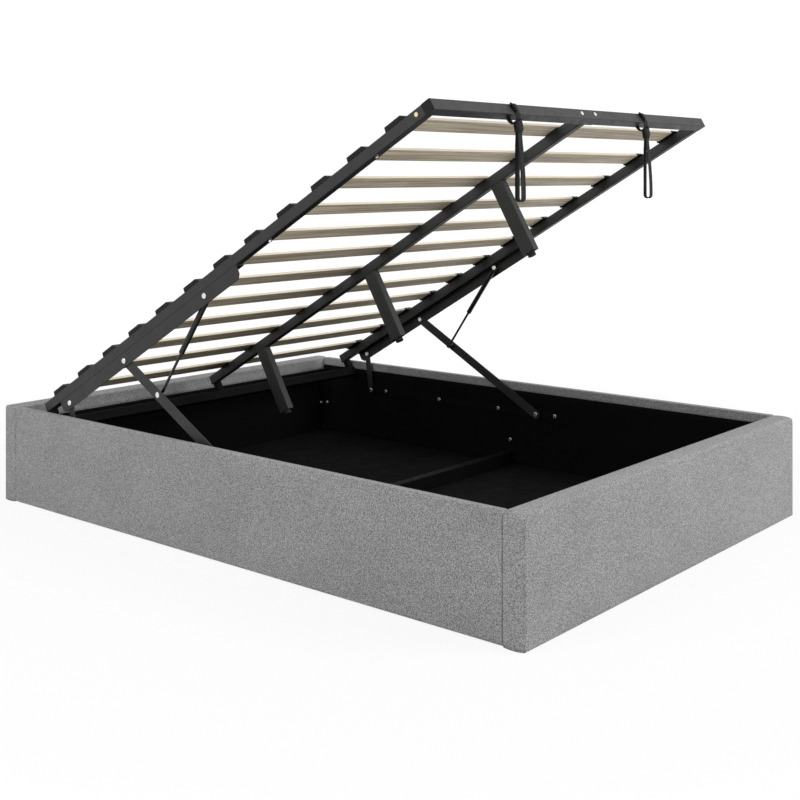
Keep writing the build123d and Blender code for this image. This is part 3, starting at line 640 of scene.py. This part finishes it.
@dataclass
class PaddedPanel:
    """Padded cover of one board or rail.

    Its own measures are u along the panel, height up, and depth in from its outer face. A spot
    is a row of its outline, as a half length and a height, with a share of that half length.
    """

    node: str
    run: Run
    shape: PanelShape
    lining_half: float
    lining: float = 0.002
    ripple: float = 0.0005
    broad_waves: float = 7.0
    fine_waves: float = 31.0
    fine_share: float = 0.4
    crown_flatness: tuple[int, int] = (8, 6)
    rim_fullness: float = 0.7
    foot_inset: float = 0.4
    column_step: float = 0.011
    row_step: float = 0.009
    arc_steps: int = 6
    rim_steps: int = 5

    def __post_init__(self) -> None:
        """Read the panel's place from the frame."""
        low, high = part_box(self.node)
        spans = (low.x, high.x), (low.y, high.y)
        (start, end), (near, far) = spans if self.run is Run.ACROSS else reversed(spans)
        self.half_length = (end - start) / 2 - self.shape.end_gap
        self.side = 1.0 if near + far > 0 else -1.0
        self.outer = max(abs(near), abs(far))
        self.thickness = far - near
        self.bottom, self.top = low.z, high.z
        self.hem = self.top - self.shape.turnover

    def world(self, u: float, height: float, depth: float) -> Vector:
        """Place in the bed's frame of a point on the panel."""
        return self.run.place(u, self.side * (self.outer - depth), height)

    def turns(self) -> list[float]:
        """Angles at the steps of a quarter turn."""
        return [index / self.arc_steps * math.pi / 2 for index in range(self.arc_steps + 1)]

    def rows(self, inset: float) -> list[Pair]:
        """Half length and height of each row of the panel's outline, drawn in by an inset."""
        lowest = self.bottom + inset * self.foot_inset
        arc_start = self.top - self.shape.corner
        straight = arc_start - self.bottom
        count = math.ceil(straight / self.row_step)
        heights = [self.bottom + straight * index / count for index in range(1, count)]
        heights = [height for height in heights if abs(height - self.hem) > self.lining]
        heights += [lowest, self.hem - self.lining / 2, self.hem + self.lining / 2, arc_start]
        outline = [(self.half_length - inset, height) for height in sorted(heights)]
        middle = self.half_length - self.shape.corner
        radius = self.shape.corner - inset
        for turn in self.turns()[1:]:
            outline.append((middle + radius * math.cos(turn), arc_start + radius * math.sin(turn)))
        return outline

    def spots(self, inset: float) -> list[list[tuple[Pair, float]]]:
        """Spots of a whole face that is drawn in by an inset, row by row."""
        columns = 2 * math.ceil(self.half_length / self.column_step)
        shares = [2 * index / columns - 1 for index in range(columns + 1)]
        return [[(row, share) for share in shares] for row in self.rows(inset)]

    def bend(self, radius: float) -> list[Pair]:
        """Inset and depth of each ring over a rounded edge, from the face to the rim."""
        return [
            (radius * (1 - math.sin(turn)), radius * (1 - math.cos(turn))) for turn in self.turns()
        ]

    def levels(self) -> list[Level]:
        """List the rings from the outer face over the rim to the inner face."""
        shape = self.shape
        rim_depth = self.thickness - shape.inner_edge - shape.edge
        levels = [Level(inset, depth) for inset, depth in self.bend(shape.edge)]
        for index in range(1, self.rim_steps):
            share = index / self.rim_steps
            swell = shape.rim_crown * math.sin(share * math.pi) ** self.rim_fullness
            levels.append(Level(-swell, shape.edge + rim_depth * share))
        inner = reversed(self.bend(shape.inner_edge))
        return levels + [Level(inset, depth, from_back=True) for inset, depth in inner]

    def back(self, share: float, height: float) -> float:
        """Depth of the inner face, which steps back where the lining lies."""
        lined = height < self.hem and abs(share) * self.half_length <= self.lining_half
        return self.thickness - (self.lining if lined else 0.0)

    def swell(self, row: Pair, share: float) -> float:
        """Crown and small waves of the outer face at a spot."""
        half, height = row
        middle = (self.top + self.bottom) / 2
        rise = (height - middle) / (self.top - middle)
        ends, rims = self.crown_flatness
        crown = self.shape.crown * (1 - share**ends) * max(0.0, 1 - rise**rims)
        place = self.world(share * half, height, 0.0)
        waves = noise.noise(place * self.broad_waves)
        waves += self.fine_share * noise.noise(place * self.fine_waves)
        return crown + self.ripple * waves

    def point(self, row: Pair, share: float, level: Level, lift: float = 0.0) -> Vector:
        """Place of a spot on or within a ring, or lifted out of it."""
        half, height = row
        depth = self.back(share, height) - level.depth if level.from_back else level.depth
        return self.world(share * half, height, depth - lift)

    def build(self, finish: Material) -> Piece:
        """Build the cover as one closed form."""
        front, *between, back = self.levels()
        form = Form()
        rings = [
            form.fill(
                [self.point(*spot, front, self.swell(*spot)) for spot in row]
                for row in self.spots(front.inset)
            )
        ]
        for level in between:
            spots = rim_of(self.spots(level.inset))
            rings.append(form.add(self.point(*spot, level) for spot in spots))
        rows = self.spots(back.inset)
        rings.append(form.fill([self.point(*spot, back) for spot in row] for row in rows))
        form.band(rings)
        piece = form.piece(self.node + "_cloth", finish)
        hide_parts(self.node)
        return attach(piece, "base")


@dataclass
class LiningSheet:
    """Black cloth on one inner face of the box, a thin closed form with slight waves.

    depths are the distances of its two sides from the middle of the bed, heights its lower and
    upper edge.
    """

    place: str
    side: float
    run: Run
    half_length: float
    depths: Vector
    heights: Vector
    carrier: str
    thickness: float = 0.0009
    wave: float = 0.0005
    wave_scale: Triple = (6.0, 9.0, 5.0)
    calm_steps: int = 3
    step: float = 0.018

    def build(self, finish: Material) -> Piece:
        """Build the sheet within its own flat box."""
        bottom, top = self.heights
        length, height = 2 * self.half_length, top - bottom
        columns, rows = math.ceil(length / self.step), math.ceil(height / self.step)
        near, far = sorted(self.side * depth for depth in self.depths)
        along, up, out = self.wave_scale

        def point(half: float, row: int, column: int) -> Vector:
            """Place of a point on one of the sheet's two sides."""
            u, w = length * column / columns - self.half_length, bottom + height * row / rows
            calm = min(row, rows - row, column, columns - column, self.calm_steps)
            wave = noise.noise(Vector((u * along, w * up, self.side * out + near)))
            lift = half * self.thickness + wave * self.wave * calm / self.calm_steps
            return self.run.place(u, (near + far) / 2 + lift, w)

        form = Form()
        form.band([
            form.fill(
                [point(half, row, column) for column in range(columns + 1)]
                for row in range(rows + 1)
            )
            for half in (-0.5, 0.5)
        ])
        piece = form.piece(f"lining_{self.place}", finish)
        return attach(piece, "base")


@dataclass
class CoveredBox:
    """The upholstered box: four padded panels and the black lining between them."""

    foot: PanelShape = PanelShape(corner=0.018, inner_edge=0.0035)
    head: PanelShape = PanelShape(corner=0.008, inner_edge=0.007)
    rail: PanelShape = PanelShape(
        corner=0.003, inner_edge=0.0025, edge=0.0025, crown=0.0008, rim_crown=0.0,
        turnover=0.028, end_gap=0.001,
    )
    lining: float = 0.002

    def panels(self) -> list[PaddedPanel]:
        """List the covers of the two end boards and the two side rails."""
        inner_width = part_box("side_rail_cover_right")[0].x
        inner_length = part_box("head_board_cover")[0].y
        return [
            PaddedPanel("foot_board_cover", Run.ACROSS, self.foot, inner_width),
            PaddedPanel("head_board_cover", Run.ACROSS, self.head, inner_width),
            PaddedPanel("side_rail_cover_left", Run.ALONG, self.rail, inner_length),
            PaddedPanel("side_rail_cover_right", Run.ALONG, self.rail, inner_length),
        ]

    def linings(self) -> list[LiningSheet]:
        """List the lining of the four inner faces."""
        low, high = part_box("inner_linings")
        inner = Vector((high.x - self.lining, high.y - self.lining))
        board_top = high.z - (self.foot.turnover - self.rail.turnover)
        rail_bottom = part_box("side_rail_cover_left")[0].z
        board = Run.ACROSS, inner.x, Vector((inner.y, high.y)), Vector((low.z, board_top))
        rail = Run.ALONG, inner.y, Vector((inner.x, high.x)), Vector((rail_bottom, high.z))
        return [
            LiningSheet("foot", -1.0, *board, "foot_board_cover_cloth"),
            LiningSheet("head", 1.0, *board, "head_board_cover_cloth"),
            LiningSheet("left", -1.0, *rail, "side_rail_cover_left_cloth"),
            LiningSheet("right", 1.0, *rail, "side_rail_cover_right_cloth"),
        ]

    def build(self, materials: dict[str, Material]) -> None:
        """Build the covers and the linings."""
        for panel in self.panels():
            LOG.info("cover %s", panel.build(materials["upholstery"]).name)
        for index, sheet in enumerate(self.linings()):
            piece = sheet.build(materials["lining"])
            if index == 0:
                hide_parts("inner_linings")
            LOG.info("lining %s", piece.name)


@dataclass(frozen=True)
class Webbing:
    """Flat woven strap with rounded edges."""

    width: float = 0.020
    thickness: float = 0.0022
    edge_steps: int = 4
    flat_shares: tuple[float, ...] = (0.6, 0.2, -0.2, -0.6)

    def section(self) -> list[Pair]:
        """Outline across the strap: places along its width and its thickness."""
        radius = self.thickness / 2
        flat = self.width / 2 - radius
        outline = []
        for side in (1.0, -1.0):
            for index in range(self.edge_steps + 1):
                turn = (index / self.edge_steps - 0.5) * math.pi
                wide = side * (flat + radius * math.cos(turn))
                outline.append((wide, side * radius * math.sin(turn)))
            outline += [(side * flat * share, side * radius) for share in self.flat_shares]
        return outline

    def sweep(self, form: Form, path: Sequence[Vector], across: Vector, closed: bool) -> None:
        """Run the strap along a path, its width as near to the way across as the path allows."""
        outline = self.section()
        last = len(path) - 1
        rings = []
        for index, place in enumerate(path):
            before = path[index - 1] if closed or index else place
            after = path[(index + 1) % len(path)] if closed or index < last else place
            along = (after - before).normalized()
            side = (across - along * across.dot(along)).normalized()
            out = along.cross(side)
            rings.append(form.add(place + side * wide + out * thick for wide, thick in outline))
        if closed:
            form.band([*rings, rings[0]])
        else:
            form.tube(rings)


@dataclass(frozen=True)
class KnotTurn:
    """One turn of webbing in the knot: its half sizes, its webbing's width and its slant."""

    half_width: float
    half_depth: float
    webbing_width: float
    lean: float
    rise: float
    shift: float
    steps: int = 28
    squareness: float = 0.8

    def sweep(self, form: Form, centre: Vector, thickness: float) -> None:
        """Run the turn round the knot's centre."""
        path = []
        for index in range(self.steps):
            angle = index / self.steps * 2 * math.pi
            cosine = math.cos(angle)
            along = self.half_width * math.copysign(abs(cosine) ** self.squareness, cosine)
            depth = self.half_depth * math.sin(angle)
            path.append(centre + Vector((along + self.shift, depth, along * self.lean + self.rise)))
        across = Vector((-self.lean, 0.0, 1.0)).normalized()
        Webbing(self.webbing_width, thickness).sweep(form, path, across, closed=True)


@dataclass
class PullStrap:
    """Lifting strap: a hitch round the foot tube, a knot in front of it and a hand loop.

    fold_path gives the places of the hitch's doubled fold behind the tube: out of the deck, off
    the band and across.
    """

    side: str
    webbing: Webbing
    tilt: float
    loop_turn: float
    tube_half: Pair = (0.015, 0.01525)
    tube_corner: float = 0.0025
    corner_steps: int = 5
    clearance: float = 0.0002
    slack: Triple = (0.0, 0.001, -0.0055)
    slack_steps: int = 6
    slack_fullness: float = 0.6
    fold_width: float = 0.012
    fold_lean: Pair = (0.80, 0.60)
    fold_path: tuple[Triple, ...] = (
        (-0.010, 0.0002, -0.004),
        (-0.003, 0.0016, -0.007),
        (0.005, 0.0024, -0.0105),
        (0.012, 0.0016, -0.0135),
        (0.0158, -0.0010, -0.0150),
    )
    knot_depth: float = 0.015
    knot_height: float = 0.022
    knot_turns: tuple[KnotTurn, ...] = (
        KnotTurn(0.0130, 0.0074, 0.019, lean=0.42, rise=0.0040, shift=-0.0008),
        KnotTurn(0.0145, 0.0062, 0.015, lean=-0.66, rise=-0.0030, shift=0.0012),
        KnotTurn(0.0118, 0.0080, 0.013, lean=0.16, rise=-0.0085, shift=0.0008),
    )
    core_half: Triple = (0.0120, 0.0066, 0.0140)
    core_rings: int = 9
    core_spokes: int = 16
    loop_radius: float = 0.0105
    loop_back: float = 0.0030
    loop_tuck: float = 0.006
    leg_start: float = 0.4
    leg_run: float = 0.25
    leg_steps: int = 20
    end_steps: int = 16
    neck_share: float = 1.3
    bow_fullness: float = 1.1

    def __post_init__(self) -> None:
        """Read the strap's place from the frame."""
        low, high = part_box(f"pull_strap_{self.side}")
        tube_low, tube_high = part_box("foot_tube")
        middle, tube = (low + high) / 2, (tube_low + tube_high) / 2
        self.pivot = Vector((middle.x, middle.y, high.z - self.knot_depth / 2))
        self.loop_bottom = low.z
        self.tube = Vector((self.pivot.x, tube.y, tube.z))
        self.forward = Vector((0.0, math.cos(self.tilt), -math.sin(self.tilt)))
        self.upward = Vector((0.0, math.sin(self.tilt), math.cos(self.tilt)))

    def build(self, finish: Material) -> list[Piece]:
        """Build the strap's hitch, knot and loop."""
        hitch = self._hitch(finish)
        knot = self._knot(finish)
        loop = self._loop(finish)
        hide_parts("strap_hitches")
        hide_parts(f"pull_strap_{self.side}")
        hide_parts(f"pull_strap_{self.side}")
        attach(hitch, "platform")
        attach(knot, f"strap_{self.side}")
        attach(loop, f"strap_{self.side}")
        return [hitch, knot, loop]

    def _beside_tube(self, along: float, rise: float, across: float = 0.0) -> Vector:
        """Place near the tube's section: along the deck, out of it and across."""
        return self.tube + self.forward * along + self.upward * rise + Vector((across, 0.0, 0.0))

    def _corner(self, side: Pair, start: float, end: float, gap: float) -> list[Vector]:
        """Bend of the webbing round one corner of the tube, between two angles in degrees.

        The corner is given by a sign along the deck and one out of it, and the gap reaches from
        the tube to the middle of the webbing.
        """
        along, rise = (
            sign * (half - self.tube_corner) for sign, half in zip(side, self.tube_half)
        )
        radius = self.tube_corner + gap
        bend = []
        for index in range(self.corner_steps + 1):
            angle = math.radians(start + (end - start) * index / self.corner_steps)
            ahead, out = radius * math.cos(angle), radius * math.sin(angle)
            bend.append(self._beside_tube(along + ahead, rise + out))
        return bend

    def _hitch(self, finish: Material) -> Piece:
        """Band that comes out of the knot, goes round the tube and back into the knot."""
        gap = self.clearance + self.webbing.thickness / 2
        plumb = 180.0 + math.degrees(self.tilt)
        offset = self.pivot - self._beside_tube(
            self.tube_half[0] - self.tube_corner, self.tube_corner - self.tube_half[1]
        )
        reach = math.hypot(offset.y, offset.z)
        heading = math.atan2(offset.dot(self.upward), offset.dot(self.forward))
        leave = math.degrees(heading + math.acos((self.tube_corner + gap) / reach))
        path = [self.pivot]
        for side, start, end in (
            ((-1.0, -1.0), plumb, 180.0),
            ((-1.0, 1.0), 180.0, 90.0),
            ((1.0, 1.0), 90.0, 0.0),
            ((1.0, -1.0), 0.0, leave),
        ):
            path += self._corner(side, start, end, gap)
        left_tube = path[-1]
        for index in range(1, self.slack_steps + 1):
            share = index / self.slack_steps
            sag = Vector(self.slack) * math.sin(share * math.pi) ** self.slack_fullness
            path.append(left_tube.lerp(self.pivot, share) + sag)
        form = Form()
        self.webbing.sweep(form, path, Vector((1.0, 0.0, 0.0)), closed=False)
        behind = self.tube_half[0] + 2 * gap
        ridge = [
            self._beside_tube(-behind - lift, rise, across) for rise, lift, across in self.fold_path
        ]
        lean_across, lean_forward = self.fold_lean
        lean = Vector((lean_across, 0.0, 0.0)) + self.forward * lean_forward
        fold = Webbing(self.fold_width, self.webbing.thickness)
        fold.sweep(form, ridge, lean.normalized(), closed=False)
        return form.piece(f"strap_hitch_{self.side}", finish)

    def _knot(self, finish: Material) -> Piece:
        """Overhand knot: turns of webbing that slant across each other round a packed core."""
        centre = self.pivot - Vector((0.0, 0.0, (self.knot_height - self.knot_depth / 2) / 2))
        form = Form()
        for turn in self.knot_turns:
            turn.sweep(form, centre, self.webbing.thickness)
        wide, deep, tall = self.core_half
        rings = []
        for ring in range(1, self.core_rings):
            polar = ring / self.core_rings * math.pi
            x, y, z = wide * math.sin(polar), deep * math.sin(polar), tall * math.cos(polar)
            angles = [spoke / self.core_spokes * 2 * math.pi for spoke in range(self.core_spokes)]
            rings.append(form.add(
                centre + Vector((x * math.cos(angle), y * math.sin(angle), z)) for angle in angles
            ))
        form.tube(rings)
        return form.piece(f"strap_knot_{self.side}", finish)

    def _loop(self, finish: Material) -> Piece:
        """Hand loop: a straight leg and a bowed one that meet in a round end."""
        opening = Vector((math.cos(self.loop_turn), math.sin(self.loop_turn), 0.0))
        across = Vector((-opening.y, opening.x, 0.0))
        radius = self.loop_radius - self.webbing.thickness / 2
        middle = radius - self.loop_back
        centre = self.loop_bottom + self.loop_radius
        top = self.pivot.z - self.knot_height + self.loop_tuck
        neck = self.webbing.thickness * self.neck_share
        shares = [index / self.leg_steps for index in range(self.leg_steps)]

        def place(open_by: float, height: float) -> Vector:
            """Place on the loop."""
            return Vector((self.pivot.x, self.pivot.y, height)) + opening * open_by

        path = []
        for share in shares:
            settled = min(1.0, share / self.leg_run)
            back = self.loop_back * (self.leg_start + (1 - self.leg_start) * settled)
            path.append(place(-back, top + (centre - top) * share))
        for index in range(self.end_steps + 1):
            angle = math.pi + index / self.end_steps * math.pi
            path.append(place(middle + radius * math.cos(angle), centre + radius * math.sin(angle)))
        for share in reversed(shares):
            bow = math.sin(share * math.pi / 2) ** self.bow_fullness
            wide = neck + (middle + radius - neck) * bow
            path.append(place(wide, top + (centre - top) * share))
        form = Form()
        self.webbing.sweep(form, path, across, closed=False)
        return form.piece(f"strap_loop_{self.side}", finish)


def dress_frame(materials: dict[str, Material]) -> None:
    """Give every rigid piece of the frame the finish of its slot."""
    for part in frame["record"]["subparts"]:
        node = frame["nodes"][part["node"]]
        node.data.materials.clear()
        node.data.materials.append(materials[part["material_slot"]])
        LOG.info("finish %s on %s", part["material_slot"], node.name)


@dataclass(frozen=True)
class Lamp:
    """Soft square lamp that looks at one place."""

    name: str
    place: Triple
    power: float
    target: Triple = (0.0, 0.0, 0.3)
    size: float = 3.0

    def build(self) -> None:
        """Add the lamp to the scene."""
        light = bpy.data.lights.new(self.name, "AREA")
        light.shape = "SQUARE"
        light.size = self.size
        light.energy = self.power
        lamp = bpy.data.objects.new(self.name, light)
        lamp.location = self.place
        aim = Vector(self.target) - Vector(self.place)
        lamp.rotation_euler = aim.to_track_quat("-Z", "Y").to_euler()
        bpy.context.scene.collection.objects.link(lamp)


@dataclass
class Studio:
    """Pale floor, plain soft light and the camera of the photograph."""

    lamps: tuple[Lamp, ...] = (
        Lamp("foot_lamp", (2.3, -5.3, 3.4), 274.0),
        Lamp("side_lamp", (-4.6, 0.6, 3.0), 126.0),
    )
    floor_half: float = 30.0
    floor_tone: float = 0.60
    floor_bounce: float = 0.62
    floor_roughness: float = 0.9
    floor_specular: float = 0.1
    floor_white: float = 0.84
    white_glow: float = 1.06
    white_span: Pair = (1.6, 4.0)
    world_light: float = 0.40
    white: Triple = (1.0, 1.0, 1.0)
    camera_place: Triple = (-2.941, -2.526, 1.034)
    camera_turn: float = -49.84
    lens: float = 56.11
    sensor: float = 36.0
    shift: float = -0.2816
    clip_end: float = 200.0

    def build(self) -> None:
        """Build the floor, the world, the lamps and the camera."""
        self._floor()
        self._world()
        for lamp in self.lamps:
            lamp.build()
        self._camera()
        bpy.context.scene.view_settings.view_transform = "Standard"
        LOG.info("studio and camera")

    def _shown(self, graph: Graph) -> Socket:
        """One for what the camera, a gloss or a clear piece sees, and nothing for other light."""
        path = graph.node("ShaderNodeLightPath")
        seen = graph.value("MAXIMUM", path.outputs["Is Camera Ray"], path.outputs["Is Glossy Ray"])
        return graph.value("MAXIMUM", seen, path.outputs["Is Transmission Ray"])

    def _floor(self) -> None:
        """Floor that looks white but keeps the bed's shadow."""
        material = bpy.data.materials.new("studio_floor")
        material.use_nodes = True
        graph = Graph(material.node_tree)
        shown = self._shown(graph)
        bounce, tone = (self.floor_bounce,) * 3, (self.floor_tone,) * 3
        shader = graph.wire(material.node_tree.nodes["Principled BSDF"], {
            "Base Color": graph.blend(shown, bounce, tone),
            "Roughness": self.floor_roughness,
            "Specular IOR Level": self.floor_specular,
        })
        glow = graph.wire(
            graph.node("ShaderNodeEmission"), {"Color": self.white, "Strength": self.white_glow}
        )
        distance = graph.vector("LENGTH", graph.place()).outputs["Value"]
        white = graph.spread(distance, self.white_span, (self.floor_white, 1.0))
        factor = graph.value("MULTIPLY", shown, white)
        mix = graph.feed_all(
            graph.node("ShaderNodeMixShader"), (factor, shader.outputs[0], glow.outputs[0])
        )
        graph.wire(material.node_tree.nodes["Material Output"], {"Surface": mix.outputs[0]})
        half = self.floor_half
        corners = [(-half, -half, 0.0), (half, -half, 0.0), (half, half, 0.0), (-half, half, 0.0)]
        mesh_object("studio_floor", corners, [(0, 1, 2, 3)], material)

    def _world(self) -> None:
        """World that lights evenly and shows white."""
        world = bpy.data.worlds.new("studio_world")
        world.use_nodes = True
        bpy.context.scene.world = world
        graph = Graph(world.node_tree)
        strength = graph.spread(
            self._shown(graph), (0.0, 1.0), (self.world_light, self.white_glow)
        )
        background = world.node_tree.nodes["Background"]
        graph.wire(background, {"Color": self.white, "Strength": strength})

    def _camera(self) -> None:
        """Level camera with the photograph's lens and shift."""
        data = bpy.data.cameras.new("photo_camera")
        data.lens = self.lens
        data.sensor_width = self.sensor
        data.shift_y = self.shift
        data.clip_end = self.clip_end
        camera = bpy.data.objects.new("photo_camera", data)
        camera.location = self.camera_place
        camera.rotation_euler = Euler((math.radians(90.0), 0.0, math.radians(self.camera_turn)))
        bpy.context.scene.collection.objects.link(camera)
        bpy.context.scene.camera = camera


def main() -> None:
    """Dress the frame, build the cloth pieces and light them."""
    logging.basicConfig(level=logging.INFO, format="%(name)s: %(message)s")
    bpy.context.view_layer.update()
    effects = Effects()
    deck_normal = Vector((0.0, math.sin(DECK_TILT), math.cos(DECK_TILT)))
    materials = {finish.slot: finish.material(effects) for finish in finishes(deck_normal)}
    dress_frame(materials)
    CoveredBox().build(materials)
    for side, turn in LOOP_TURNS.items():
        strap = PullStrap(side, Webbing(), DECK_TILT, turn)
        for piece in strap.build(materials["webbing"]):
            LOG.info("strap piece %s", piece.name)
    Studio().build()
    bpy.context.view_layer.update()


if __name__ == "__main__":
    main()
